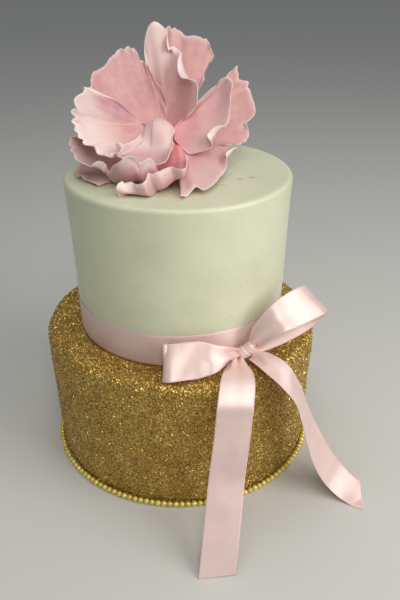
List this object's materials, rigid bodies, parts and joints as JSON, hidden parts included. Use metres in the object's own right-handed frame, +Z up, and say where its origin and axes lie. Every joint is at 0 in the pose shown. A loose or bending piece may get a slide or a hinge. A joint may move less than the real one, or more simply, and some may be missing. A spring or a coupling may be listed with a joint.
{
  "type": "two-tier birthday cake",
  "caption": "Tiered iced cake with a sugar-crystal lower tier, smooth upper tier, pearl border, satin ribbon bow and a large open sugar flower on top.",
  "frame": {"origin": "on the cake's axis, at the flat underside of the lower tier", "axes": "+Z up through the tiers; -Y is the front, where the bow's long tail hangs; +X to the right seen from the front"},
  "size_m": [0.243, 0.2774, 0.3203],
  "materials": {
    "gold_sugar": "coarse sugar crystals dusted with edible gold lustre",
    "icing": "smooth satin rolled icing, pale ivory with a green cast",
    "sugar_pearl": "pearl lustre, yellow gold",
    "satin": "glossy satin weave, pale pink",
    "petal_paste": "matt sugar paste, dusty pink with paler rims"
  },
  "bodies": {
    "root": {"lower_tier": "gold_sugar", "upper_tier": "icing", "pearl_border": "sugar_pearl", "ribbon_band": "satin", "bow_knot": "satin", "bow_loop_left": "satin", "bow_loop_right": "satin", "bow_tail_front": "satin", "bow_tail_right": "satin", "flower_stub": "petal_paste", "petal_back_left": "petal_paste", "petal_back_middle": "petal_paste", "petal_back_tall": "petal_paste", "petal_right_outer": "petal_paste", "petal_right_inner": "petal_paste", "petal_front_right": "petal_paste", "petal_front_bowl": "petal_paste", "petal_left_under": "petal_paste", "petal_left_cup": "petal_paste", "petal_front_lip": "petal_paste", "petal_centre": "petal_paste", "petal_left_large": "petal_paste"}
  },
  "joints": []
}
